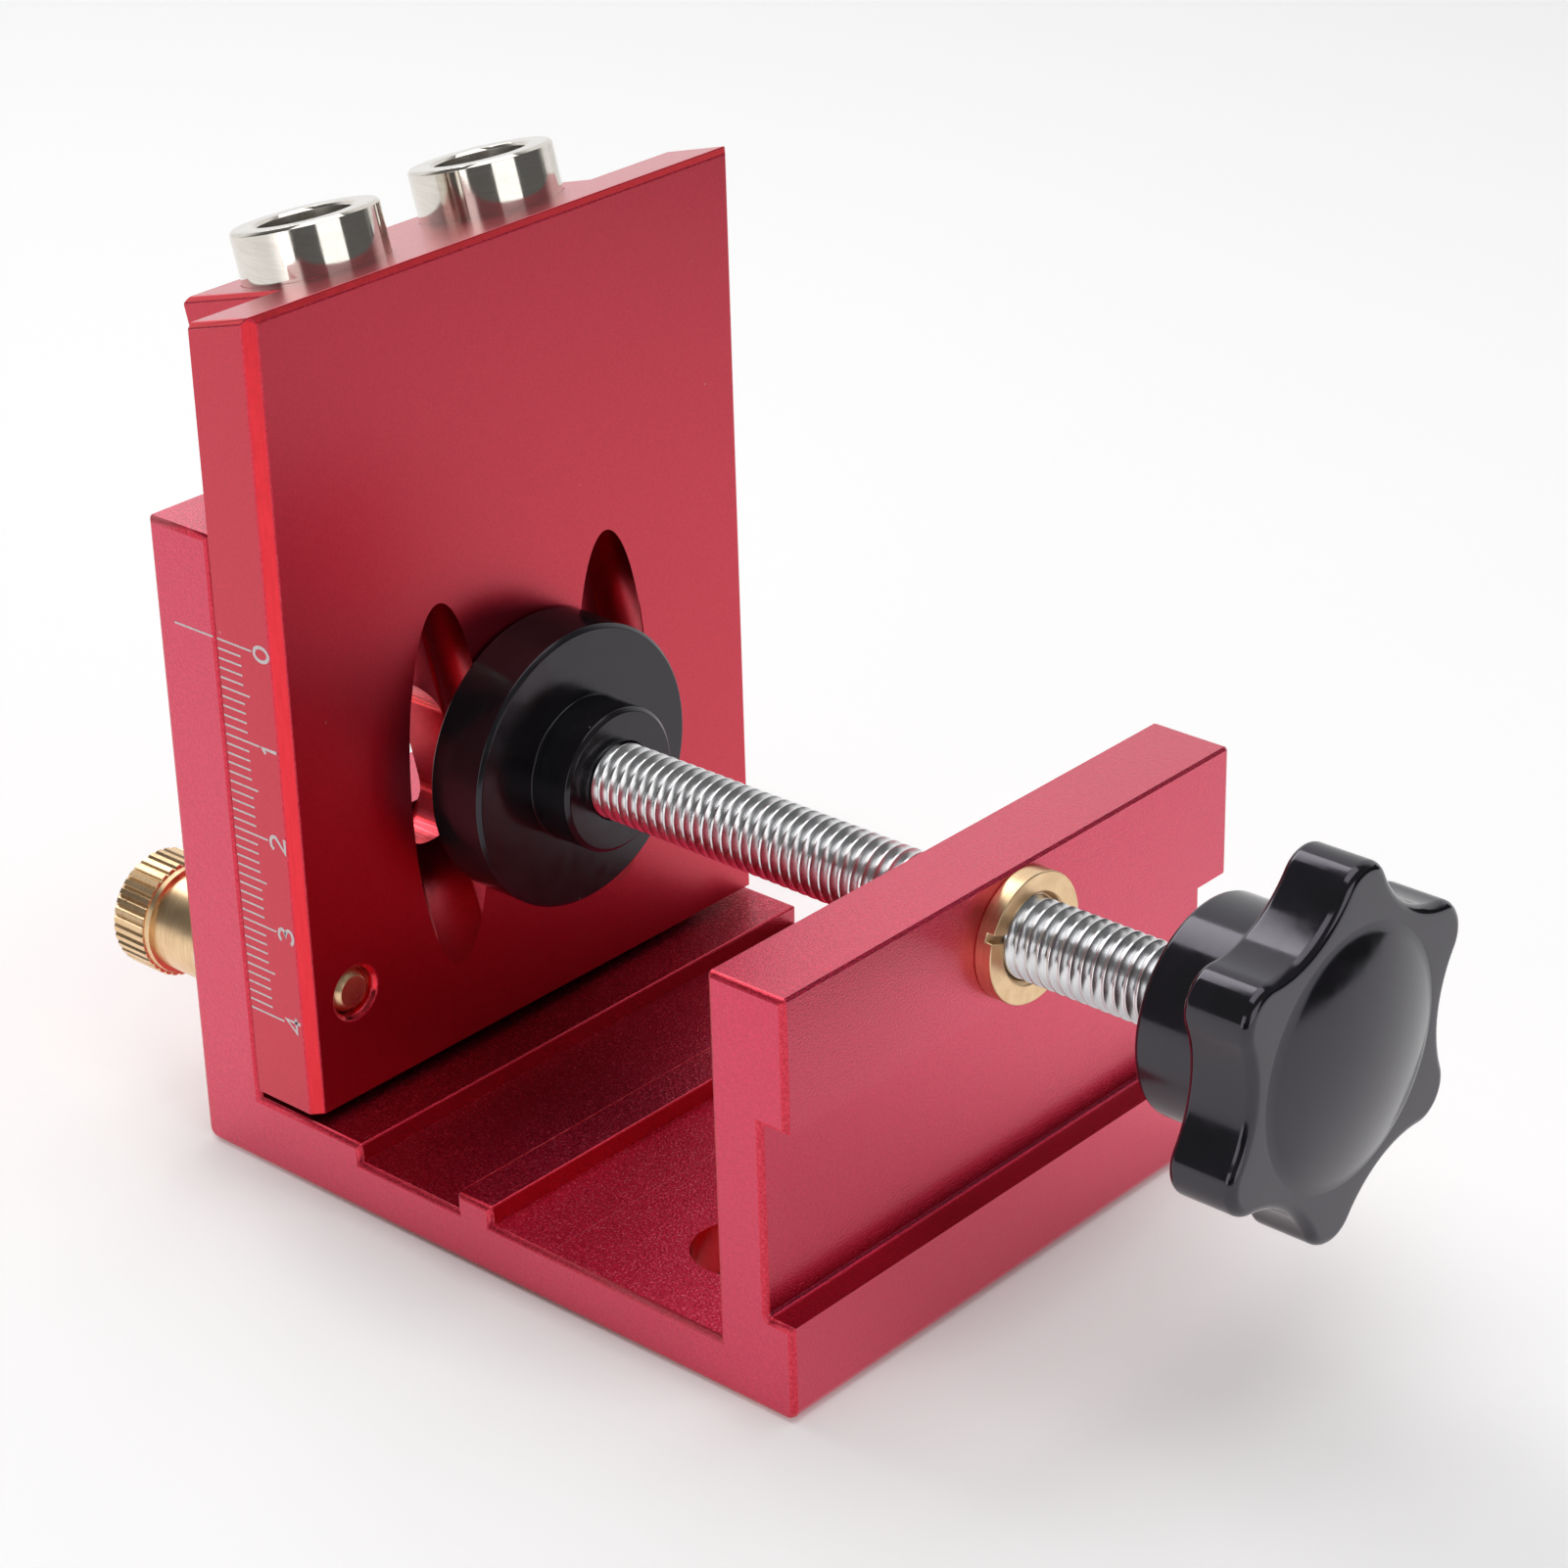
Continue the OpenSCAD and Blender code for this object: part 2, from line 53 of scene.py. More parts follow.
# (x, z) of the bright lines along the extrusion: one on the floor where the dye is rubbed off, and one on the
# rib's rear edge that is a painted highlight
WORN_AND_HIGHLIGHT_LINES = ((8.8, FLOOR_Z), (RIB_BACK_X + 0.1, LEDGE_Z))
SLAB_BACK_X, SLAB_FACE_X, SLAB_LOW_Z, SLAB_TOP_Z = -31.4, -22.8, 8.45, 92.05
# Half width of the boss, and the distance from the middle beyond which the block's edges are rounded
BOSS_Y, ROUNDED_Y = 21.2, 15.9
BUSH_R, DRILL_R = 7.4, 4.75
BORE_TILT, BORE_Y = math.radians(15), 11.75
BORE_TOP = (SLAB_TOP_Z - CLAMP_Z) * math.cos(BORE_TILT)
BORE_X = SLAB_FACE_X - BORE_TOP * math.sin(BORE_TILT)
BORE_Z = CLAMP_Z + BORE_TOP * math.cos(BORE_TILT)


# Mesh helpers: shapes are written in millimetres, in a local frame whose third axis is the turning axis

def axis_frame(origin, first, second, third):
    """Matrix that places a local frame with the given axes at a point in millimetres."""
    columns = (Vector(first), Vector(second), Vector(third), Vector(origin) * MM)
    rows = [[c[i] for c in columns] for i in range(3)]
    return Matrix(rows + [[0, 0, 0, 1]])


CLAMP = axis_frame((0, 0, CLAMP_Z), (0, 1, 0), (0, 0, 1), (1, 0, 0))
LOCK = axis_frame((0, LOCK_Y, LOCK_Z), (0, 1, 0), (0, 0, 1), (1, 0, 0))


def bore_frame(side):
    s, c = math.sin(BORE_TILT), math.cos(BORE_TILT)
    return axis_frame((BORE_X, side * BORE_Y, BORE_Z), (c, 0, s), (0, 1, 0), (-s, 0, c))


def soften(profile, radius, closed, steps=3):
    """Rounds the corners of a list of (radius, place) points. radius is one number or one for each point."""
    radii = radius if isinstance(radius, (list, tuple)) else [radius] * len(profile)
    points = [Vector(p) for p in profile]
    out = []
    for i, p in enumerate(points):
        if radii[i] <= 0 or (not closed and i in (0, len(points) - 1)):
            out.append(tuple(p))
            continue
        to_a = points[i - 1] - p
        to_b = points[(i + 1) % len(points)] - p
        half = to_a.angle(to_b) / 2
        reach = min(radii[i] / math.tan(half), 0.45 * to_a.length, 0.45 * to_b.length)
        a, b = p + to_a.normalized() * reach, p + to_b.normalized() * reach
        for k in range(steps + 1):
            t = k / steps
            out.append(tuple(a * (1 - t) ** 2 + p * (2 * t * (1 - t)) + b * t ** 2))
    return out


class Shell:
    """Collects vertices and faces of one mesh, in millimetres."""

    def __init__(self):
        self.verts, self.faces = [], []

    def rings(self, rings, closed):
        """Joins rings of equal length into a skin. A ring of one point is a pole."""
        starts = []
        for ring in rings:
            starts.append(len(self.verts))
            self.verts.extend(ring)
        pairs = list(zip(range(len(rings)), range(1, len(rings))))
        if closed:
            pairs.append((len(rings) - 1, 0))
        for a, b in pairs:
            count = max(len(rings[a]), len(rings[b]))
            for j in range(count):
                k = (j + 1) % count
                face = [starts[a] + j, starts[a] + k] if len(rings[a]) > 1 else [starts[a]]
                face += [starts[b] + k, starts[b] + j] if len(rings[b]) > 1 else [starts[b]]
                self.faces.append(face)
        return self

    def lathe(self, profile, closed, count=128):
        """Turns (radius, place) points round the local third axis."""
        turn = [(math.cos(TURN * j / count), math.sin(TURN * j / count)) for j in range(count)]
        rings = [[(r * c, r * s, t) for c, s in turn] if r > 1e-6 else [(0, 0, t)] for r, t in profile]
        return self.rings(rings, closed)

    def add(self, verts, faces):
        start = len(self.verts)
        self.verts.extend(verts)
        self.faces.extend([start + i for i in face] for face in faces)
        return self

    def piece(self, name, place=Matrix.Identity(4), cuts=()):
        """Makes the object. cuts are (place on the third axis, side) planes that trim and cap it."""
        bm = bmesh.new()
        made = [bm.verts.new(Vector(v) * MM) for v in self.verts]
        for face in self.faces:
            bm.faces.new([made[i] for i in face])
        for at, side in cuts:
            cut = bmesh.ops.bisect_plane(
                bm, geom=bm.verts[:] + bm.edges[:] + bm.faces[:], plane_co=(0, 0, at * MM),
                plane_no=(0, 0, side), clear_outer=True)
            rim = [e for e in cut["geom_cut"] if isinstance(e, bmesh.types.BMEdge)]
            bmesh.ops.edgeloop_fill(bm, edges=rim)
        bmesh.ops.recalc_face_normals(bm, faces=bm.faces[:])
        bm.transform(place)
        return finish_mesh(name, bm)


def finish_mesh(name, bm, sharp_deg=38):
    mesh = bpy.data.meshes.new(name)
    bm.to_mesh(mesh)
    bm.free()
    mesh.shade_smooth()
    mesh.set_sharp_from_angle(angle=math.radians(sharp_deg))
    obj = bpy.data.objects.new(name, mesh)
    bpy.context.scene.collection.objects.link(obj)
    weigh = obj.modifiers.new("weighted", "WEIGHTED_NORMAL")
    weigh.keep_sharp = True
    weigh.mode = "FACE_AREA"
    return obj


def cad_copy(node, name, width, segments=3, edge_slot=-1, share=lambda a, b, degrees: 1.0):
    """Copy of a CAD node with its sharp convex edges rounded. share gives the part of the width for an
    edge, from its two ends in millimetres and the angle of its faces. The rounded strips take the
    material of edge_slot, or that of the faces beside them."""
    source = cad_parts[node].data
    bm = bmesh.new()
    made = [bm.verts.new(v.co) for v in source.vertices]
    for poly in source.polygons:
        bm.faces.new([made[i] for i in poly.vertices])
    bmesh.ops.remove_doubles(bm, verts=bm.verts[:], dist=1e-7)
    bmesh.ops.dissolve_degenerate(bm, edges=bm.edges[:], dist=1e-7)
    bmesh.ops.dissolve_limit(
        bm, angle_limit=math.radians(0.3), verts=bm.verts[:], edges=bm.edges[:], delimit={"NORMAL"})
    bmesh.ops.recalc_face_normals(bm, faces=bm.faces[:])
    weight = bm.edges.layers.float.new("bevel_weight_edge")
    for edge in bm.edges:
        degrees = math.degrees(edge.calc_face_angle(0))
        if degrees > 30 and edge.is_convex:
            edge[weight] = share(edge.verts[0].co / MM, edge.verts[1].co / MM, degrees)
    obj = finish_mesh(name, bm)
    bevel = obj.modifiers.new("bevel", "BEVEL")
    bevel.limit_method = "WEIGHT"
    bevel.width = width * MM
    bevel.segments = segments
    bevel.use_clamp_overlap = False
    bevel.loop_slide = False
    bevel.material = edge_slot
    while obj.modifiers[0].name != "bevel":
        obj.modifiers.move(obj.modifiers.find("bevel"), 0)
    return obj


# Materials: every colour and bump pattern comes from nodes in the piece's own space

class Finish:
    """A Principled material with helpers for grain, specks and bumps."""

    def __init__(self, name, color, metallic, roughness, **sockets):
        self.mat = bpy.data.materials.new(name)
        self.mat.use_nodes = True
        self.nodes = self.mat.node_tree.nodes
        self.links = self.mat.node_tree.links
        self.shader = self.nodes["Principled BSDF"]
        self.coords = self.node("ShaderNodeTexCoord").outputs["Object"]
        self.bump = None
        self.set("Base Color", (*color, 1))
        self.set("Metallic", metallic)
        self.set("Roughness", roughness)
        for key, value in sockets.items():
            self.set(key.replace("_", " "), value)

    def set(self, key, value):
        self.shader.inputs[key].default_value = value

    def node(self, kind, **values):
        made = self.nodes.new(kind)
        for key, value in values.items():
            if hasattr(made, key):
                setattr(made, key, value)
            else:
                made.inputs[key.replace("_", " ")].default_value = value
        return made

    def stretched(self, scale):
        """Coordinates scaled apart in X, Y and Z, for brushed and turned marks."""
        mapping = self.node("ShaderNodeMapping", Scale=scale)
        self.links.new(self.coords, mapping.inputs["Vector"])
        return mapping.outputs["Vector"]

    def noise(self, per_mm, detail=2.0, rough=0.5, vector=None):
        made = self.node("ShaderNodeTexNoise", Scale=per_mm / MM, Detail=detail, Roughness=rough)
        self.links.new(vector or self.coords, made.inputs["Vector"])
        return made.outputs["Fac"]

    def specks(self, per_mm, size):
        """1 inside small round spots that are scattered at random, 0 elsewhere."""
        cells = self.node("ShaderNodeTexVoronoi", Scale=per_mm / MM, Randomness=1.0)
        self.links.new(self.coords, cells.inputs["Vector"])
        return self.ramp(cells.outputs["Distance"], ((0.0, 1.0), (size, 1.0), (size * 1.4, 0.0)))

    def ramp(self, fac, stops):
        """Maps a value through (place, value) or (place, colour) stops."""
        made = self.node("ShaderNodeValToRGB")
        bar = made.color_ramp.elements
        while len(bar) < len(stops):
            bar.new(0.5)
        for item, (at, value) in zip(bar, stops):
            item.position = at
            item.color = (value, value, value, 1) if isinstance(value, (int, float)) else (*value, 1)
        self.links.new(fac, made.inputs["Fac"])
        return made.outputs["Color"]

    def mix(self, fac, a, b):
        """Mixes two colours or links by a link or number."""
        made = self.node("ShaderNodeMix", data_type="RGBA")
        ins = {s.name: s for s in made.inputs if s.type == "RGBA"}
        for socket, value in ((made.inputs["Factor"], fac), (ins["A"], a), (ins["B"], b)):
            if hasattr(value, "is_output"):
                self.links.new(value, socket)
            else:
                socket.default_value = value if isinstance(value, float) else (*value, 1)
        return next(s for s in made.outputs if s.type == "RGBA")

    def paint(self, link):
        self.links.new(link, self.shader.inputs["Base Color"])

    def rough(self, fac, low, high):
        self.links.new(self.ramp(fac, ((0.25, low), (0.75, high))), self.shader.inputs["Roughness"])

    def raise_by(self, height, distance_mm, strength=1.0):
        """Adds a bump of the given height pattern on top of those before it."""
        made = self.node("ShaderNodeBump", Strength=strength, Distance=distance_mm * MM)
        self.links.new(height, made.inputs["Height"])
        if self.bump:
            self.links.new(self.bump, made.inputs["Normal"])
        self.bump = made.outputs["Normal"]
        self.links.new(self.bump, self.shader.inputs["Normal"])


def red_blasted(name, dark, light, rough=(0.17, 0.27), coat=0.9, glint=0.0):
    """Bead-blasted and anodised aluminium: an even grain over faint lines of the extrusion. glint is the
    strength of painted glints: bright pink points of colour that stand in for light catching the grain."""
    f = Finish(name, light, 1.0, 0.22, Coat_Weight=coat, Coat_Roughness=0.24, Coat_IOR=1.5)
    fine, broad = f.noise(4.2, 3.0, 0.6), f.noise(0.06, 3.0)
    base = f.mix(f.ramp(fine, ((0.36, 0.0), (0.64, 1.0))), dark, light)
    # Painted glints: bright pink points of colour, as strong as glint, that stand in for light glinting off
    # the grain
    points = f.ramp(f.noise(4.6, 1.0, 0.5), ((0.56, 0.0), (0.68, glint)))
    base = f.mix(points, base, (0.97, 0.15, 0.24))
    f.paint(f.mix(f.ramp(broad, ((0.3, 0.0), (0.7, 0.12))), base, tuple(0.9 * c for c in dark)))
    f.rough(f.noise(3.0), *rough)
    f.raise_by(fine, 0.10, 0.8)
    f.raise_by(f.noise(1.3, 2.0), 0.02, 0.25)
    f.raise_by(f.noise(2.2, 2.0, 0.5, f.stretched((1.0, 0.01, 1.0))), 0.012, 0.30)
    return f.mat


def red_worn_and_highlight():
    """Bright lines along the extrusion: a die line on the floor where the dye is rubbed off its ridge, and a
    painted highlight along the rib's rear edge.
    """
    f = Finish("red_worn_and_highlight", (0.84, 0.16, 0.22), 1.0, 0.5)
    grain = f.noise(3.0, 3.0, 0.7)
    f.paint(f.ramp(grain, ((0.40, (0.60, 0.03, 0.06)), (0.60, (0.88, 0.18, 0.24)))))
    f.rough(grain, 0.42, 0.56)
    f.raise_by(grain, 0.06, 0.8)
    return f.mat


def red_satin():
    """Fine satin anodised aluminium with a few pits."""
    f = Finish("red_satin", (0.60, 0.013, 0.044), 1.0, 0.28,
               Coat_Weight=0.8, Coat_Roughness=0.26, Coat_IOR=1.5)
    fine, broad = f.noise(4.5, 2.0, 0.6), f.noise(0.045, 3.0)
    grain = f.ramp(fine, ((0.35, 0.0), (0.65, 1.0)))
    base = f.mix(grain, (0.56, 0.010, 0.038), (0.64, 0.016, 0.050))
    base = f.mix(f.ramp(broad, ((0.3, 0.0), (0.7, 0.10))), base, (0.53, 0.009, 0.034))
    f.paint(f.mix(f.specks(0.13, 0.016), base, (0.62, 0.16, 0.19)))
    f.rough(f.noise(4.0), 0.34, 0.42)
    f.raise_by(fine, 0.016, 0.35)
    return f.mat


def red_cut():
    """Machined and anodised chamfers and bench holes."""
    f = Finish("red_cut", (0.84, 0.022, 0.040), 1.0, 0.22,
               Coat_Weight=0.6, Coat_Roughness=0.20, Coat_IOR=1.5)
    lines = f.noise(5.0, 2.0, 0.5, f.stretched((1.0, 1.0, 0.06)))
    f.paint(f.mix(f.ramp(lines, ((0.3, 0.0), (0.7, 1.0))), (0.80, 0.018, 0.033), (0.88, 0.028, 0.047)))
    f.rough(f.noise(1.0), 0.18, 0.26)
    f.raise_by(lines, 0.004, 0.25)
    return f.mat


def red_bore_painted_shade():
    """Drilled and anodised bores and chip windows: duller than the faces, with drill marks, and a darker red
    that is painted shade inside them.
    """
    f = Finish("red_bore_painted_shade", (0.50, 0.012, 0.032), 1.0, 0.36,
               Coat_Weight=0.6, Coat_Roughness=0.32, Coat_IOR=1.5)
    marks = f.noise(3.0, 2.0, 0.5, f.stretched((0.3, 0.3, 1.0)))
    f.paint(f.mix(f.ramp(marks, ((0.3, 0.0), (0.7, 1.0))), (0.46, 0.010, 0.028), (0.54, 0.015, 0.038)))
    f.rough(f.noise(1.0), 0.32, 0.42)
    f.raise_by(marks, 0.01, 0.3)
    return f.mat


def red_edge():
    """Broken edges: brighter and smoother than the faces, with dark points where the dye is patchy."""
    f = Finish("red_edge", (0.70, 0.026, 0.062), 1.0, 0.30,
               Coat_Weight=0.6, Coat_Roughness=0.26, Coat_IOR=1.5)
    grain = f.noise(4.0, 3.0, 0.7)
    f.paint(f.ramp(grain, (
        (0.30, (0.50, 0.012, 0.036)), (0.50, (0.70, 0.026, 0.062)), (0.74, (0.80, 0.07, 0.12)))))
    f.rough(grain, 0.30, 0.44)
    f.raise_by(grain, 0.09, 0.8)
    return f.mat


def turned(name, dark, light, low, high, axis_scale, per_mm=5.0):
    """Turned metal: fine rings round the axis, faint stains and small nicks."""
    f = Finish(name, light, 1.0, (low + high) / 2)
    rings, stain = f.noise(per_mm, 2.0, 0.6, f.stretched(axis_scale)), f.noise(0.5, 3.0)
    base = f.mix(f.ramp(rings, ((0.3, 0.0), (0.7, 0.5))), light, dark)
    base = f.mix(f.ramp(stain, ((0.5, 0.0), (0.8, 0.35))), base, dark)
    f.paint(f.mix(f.specks(0.5, 0.025), base, tuple(0.55 * c for c in dark)))
    f.rough(stain, low, high)
    f.raise_by(rings, 0.002, 0.2)
    return f.mat


def black_plastic():
    """Glossy moulded phenolic with faint flow marks and dust."""
    f = Finish("black_gloss", (0.008, 0.007, 0.009), 0.0, 0.12, Specular_IOR_Level=0.75,
               Specular_Tint=(0.92, 0.86, 1.0, 1))
    dust = f.specks(0.16, 0.022)
    flow = f.ramp(f.noise(0.25, 4.0), ((0.3, 0.0), (0.7, 1.0)))
    base = f.mix(flow, (0.006, 0.006, 0.007), (0.010, 0.009, 0.012))
    f.paint(f.mix(dust, base, (0.12, 0.11, 0.11)))
    f.rough(f.noise(0.5, 4.0), 0.08, 0.17)
    f.raise_by(f.noise(0.35, 3.0), 0.03, 0.08)
    f.raise_by(dust, 0.02, 0.3)
    return f.mat


def black_anodised():
    """Black satin pad with turning marks and small nicks."""
    f = Finish("black_satin", (0.009, 0.008, 0.010), 0.0, 0.20, Specular_IOR_Level=0.55,
               Specular_Tint=(0.94, 0.89, 1.0, 1))
    rings = f.noise(3.0, 2.0, 0.6, f.stretched((1.0, 0.08, 0.08)))
    base = f.mix(f.ramp(rings, ((0.3, 0.0), (0.7, 1.0))), (0.006, 0.006, 0.007), (0.012, 0.011, 0.013))
    f.paint(f.mix(f.specks(0.28, 0.022), base, (0.20, 0.19, 0.19)))
    f.rough(f.noise(0.6, 3.0), 0.16, 0.26)
    f.raise_by(rings, 0.003, 0.2)
    return f.mat


def white_marking():
    """White laser marking: slightly uneven, with the red showing through in spots."""
    f = Finish("marking", (0.80, 0.72, 0.73), 0.0, 0.6)
    worn = f.ramp(f.noise(6.0, 2.0), ((0.30, 1.0), (0.45, 0.0)))
    f.paint(f.mix(worn, (0.86, 0.80, 0.81), (0.66, 0.40, 0.43)))
    f.raise_by(f.noise(8.0), 0.01, 0.4)
    return f.mat


MATS = {
    "blasted": red_blasted("red_blasted", (0.63, 0.018, 0.070), (0.72, 0.030, 0.095)),
    # The inside copy is a darker red: painted shade on the upright faces inside the base
    "inside": red_blasted("red_blasted_painted_shade_inside", (0.44, 0.009, 0.038), (0.58, 0.017, 0.062)),
    # The floor copy is a lighter red with painted glints: painted light on the floor in front of the rib
    "floor": red_blasted(
        "red_blasted_floor_painted_light", (0.46, 0.007, 0.036), (0.92, 0.024, 0.090), (0.34, 0.46), 0.3, 1.0),
    # The ledge copy is a darker red: painted shade on the rib, the groove and the ledge behind the rib
    "ledge": red_blasted(
        "red_blasted_ledge", (0.28, 0.004, 0.022), (0.60, 0.015, 0.058), (0.30, 0.42), 0.3, 0.6),
    "worn": red_worn_and_highlight(),
    "satin": red_satin(),
    "cut": red_cut(),
    "edge": red_edge(),
    "red_bore_painted_shade": red_bore_painted_shade(),
    "nickel": turned("nickel", (0.62, 0.57, 0.51), (0.78, 0.74, 0.68), 0.06, 0.13, (0.08, 0.08, 1.0)),
    "bore": turned("bore", (0.40, 0.37, 0.33), (0.68, 0.65, 0.60), 0.22, 0.34, (0.08, 0.08, 1.0)),
    "brass": turned("brass", (0.64, 0.41, 0.21), (0.91, 0.66, 0.40), 0.26, 0.38, (1.0, 0.08, 0.08)),
    "zinc": turned("zinc", (0.66, 0.67, 0.69), (0.88, 0.88, 0.89), 0.18, 0.28, (1.0, 0.10, 0.10), 6.0),
    "gloss": black_plastic(),
    "pad": black_anodised(),
    "marking": white_marking(),
}


def dress(obj, body, mats, nodes=()):
    """Gives a new piece its materials and its body, and hides the CAD nodes that it stands for."""
    for mat in mats:
        obj.data.materials.append(MATS[mat])
    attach(obj, body)
    if nodes:
        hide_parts(*nodes)


# Base and guide block: the CAD shapes with rounded edges

BASE_MATS = ["blasted", "edge", "inside", "cut", "floor", "ledge"]
GUIDE_MATS = ["satin", "cut", "edge", "red_bore_painted_shade"]
# Tolerance for places in millimetres and for parts of a normal
NEAR = 0.01
FACING = 1e-3


def base_mat(poly):
    """Bright holes, and three reds inside the base: upright faces darkened with painted shade, the floor
    lightened with painted light and glints, and the rib and what lies behind darkened with painted shade.
    """
    n, c = poly.normal, poly.center / MM
    off_hole = min(math.dist(c.xy, (BENCH_HOLE_X, y)) for y in (-BENCH_HOLE_Y, BENCH_HOLE_Y))
    if off_hole < BENCH_HOLE_R + 0.05 and abs(n.z) < 0.1:
        return "cut"
    lengthwise = abs(n.y) < 0.5
    if not (lengthwise and SLAB_BACK_X < c.x < FRONT_WALL_X + NEAR and c.z > FLOOR_Z - NEAR):
        return "blasted"
    if n.z < 0.9:
        return "inside"
    return "floor" if c.x > RIB_FRONT_X else "ledge"


def build_base():
    def share(a, b, degrees):
        """Widest round both ends, less along the extrusion, none at holes and small chamfers."""
        if abs(a.y) > END_Y - NEAR and abs(a.y - b.y) < NEAR:
            return 1.0
        low = max(a.z, b.z) < LEDGE_Z + 1.5
        return 0.4 if low and degrees > 60 and (a - b).length > 1.5 else 0.0

    edge = BASE_MATS.index("edge")
    obj = cad_copy("base_frame", "base_frame_dressed", 0.55, edge_slot=edge, share=share)
    dress(obj, "base", BASE_MATS, ["base_frame"])
    for poly in obj.data.polygons:
        poly.material_index = BASE_MATS.index(base_mat(poly))
    # Thin bright strips: a rubbed die line on the floor, and a painted highlight on the rib's rear edge
    worn = Shell()
    half, depth, height, length = 0.05, 0.05, 0.02, END_Y - 1
    for x, z in WORN_AND_HIGHLIGHT_LINES:
        corners = [(x + side * half, y, at) for y in (-length, length) for side in (-1, 1)
                   for at in (z - depth, z + height)]
        worn.add(corners, [
            [0, 2, 3, 1], [4, 5, 7, 6], [0, 1, 5, 4], [2, 6, 7, 3], [1, 3, 7, 5], [0, 4, 6, 2]])
    dress(worn.piece("worn_and_highlight_lines"), "base", ["worn"])


def guide_mat(poly, into_bore):
    """Satin flat faces, bores and windows darkened with painted shade, and bright chamfers and holes."""
    n, c = poly.normal, poly.center / MM
    tilt = math.cos(BORE_TILT)
    front_or_back = abs(abs(n.x) - 1) < FACING
    on_side = abs(c.y) > END_Y - 0.1 or abs(abs(c.y) - BOSS_Y) < 0.1
    side = abs(abs(n.y) - 1) < FACING and on_side
    lengthwise = abs(n.y) < FACING
    tilted_top = lengthwise and abs(n.z - tilt) < FACING
    boss_back = lengthwise and abs(n.x + tilt) < FACING
    bottom = abs(n.z + 1) < FACING and c.z < SLAB_LOW_Z + 0.05
    if front_or_back or side or tilted_top or boss_back or bottom:
        return "satin"
    off_bore = min((turn @ poly.center).xy.length for turn in into_bore)
    return "red_bore_painted_shade" if off_bore < (BUSH_R + 0.3) * MM else "cut"


def build_guide():
    def outer(a, b, degrees):
        """Only the outer edges of the slab and boss, clear of the windows and most of the bores."""
        return 1.0 if min(abs(a.y), abs(b.y)) > ROUNDED_Y else 0.0

    edge = GUIDE_MATS.index("edge")
    obj = cad_copy("guide_block", "guide_block_dressed", 0.12, edge_slot=edge, share=outer)
    dress(obj, "guide", GUIDE_MATS, ["guide_block"])
    into_bore = [bore_frame(side).inverted() for side in (-1, 1)]
    for poly in obj.data.polygons:
        poly.material_index = GUIDE_MATS.index(guide_mat(poly, into_bore))


# Turned pieces

def build_bushing(side, name):
    low, top, chamfer = -19.8, 5.2, 0.3
    profile = [
        (DRILL_R, low), (BUSH_R, low), (BUSH_R, top - chamfer), (BUSH_R - chamfer, top),
        (DRILL_R + chamfer, top), (DRILL_R, top - chamfer)]
    shell = Shell().lathe(soften(profile, 0.08, True), True, 160)
    obj = shell.piece(name + "_dressed", bore_frame(side))
    dress(obj, "guide", ["nickel", "bore"], [name])
    into_bore = bore_frame(side).inverted()
    for poly in obj.data.polygons:
        middle = into_bore @ poly.center / MM
        poly.material_index = 1 if middle.xy.length < DRILL_R + 0.05 else 0


def build_pad():
    profile = [
        (6.2, -22.6), (14.4, -22.6), (14.8, -22.2), (14.8, -16.0), (14.4, -15.6), (7.55, -15.6),
        (7.55, -11.0), (7.15, -10.6), (4.1, -10.6), (4.1, -15.6), (3.05, -15.6), (3.05, -20.0), (6.2, -20.0)]
    shell = Shell().lathe(soften(profile, 0.16, True), True, 192)
    dress(shell.piece("pressure_pad_dressed", CLAMP), "pad", ["pad"], ["pressure_pad"])


def build_washer():
    profile = [(2.8, -40.8), (5.5, -40.8), (5.5, -40.0), (2.8, -40.0)]
    shell = Shell().lathe(soften(profile, 0.12, True), True, 96)
    dress(shell.piece("lock_washer_dressed", LOCK), "lock_slider", ["zinc"], ["lock_washer"])


def helix(shell, start, end, pitch, profile, count=60):
    """Right-hand thread along the third axis. profile holds (share of the pitch, radius) points."""
    steps = len(profile)
    turns = math.ceil((end - start) / pitch) + 2
    columns = []
    for j in range(count):
        c, s = math.cos(TURN * j / count), math.sin(TURN * j / count)
        column = []
        for i in range(turns * steps):
            share, r = profile[i % steps]
            column.append((r * c, r * s, start + pitch * (i // steps - 1 + share + j / count)))
        columns.append(column)
    rows = turns * steps
    verts = [p for column in columns for p in column]
    faces = []
    for j in range(count):
        k, lift = (j + 1) % count, steps if j == count - 1 else 0
        for i in range(rows - 1 - lift):
            faces.append([j * rows + i, j * rows + i + 1, k * rows + i + 1 + lift, k * rows + i + lift])
    return shell.add(verts, faces)


# One turn of each thread, as (share of the pitch, radius) points
M8_PITCH, M5_PITCH = 1.25, 0.8
M8_PROFILE = [
    (0.00, 3.98), (0.05, 4.00), (0.10, 3.97), (0.15, 4.00), (0.20, 3.98), (0.48, 3.40), (0.60, 3.32),
    (0.72, 3.40)]
M5_PROFILE = [(0.00, 2.48), (0.08, 2.50), (0.16, 2.48), (0.50, 2.07), (0.62, 2.03), (0.74, 2.07)]
# Places along the clamp axis: the ends of the thread and of the hexagon head in the knob
THREAD_LOW, THREAD_TOP = -15.55, 66.0
HEX_R, HEX_LOW, HEX_TOP = 7.5, 66.1, 71.4


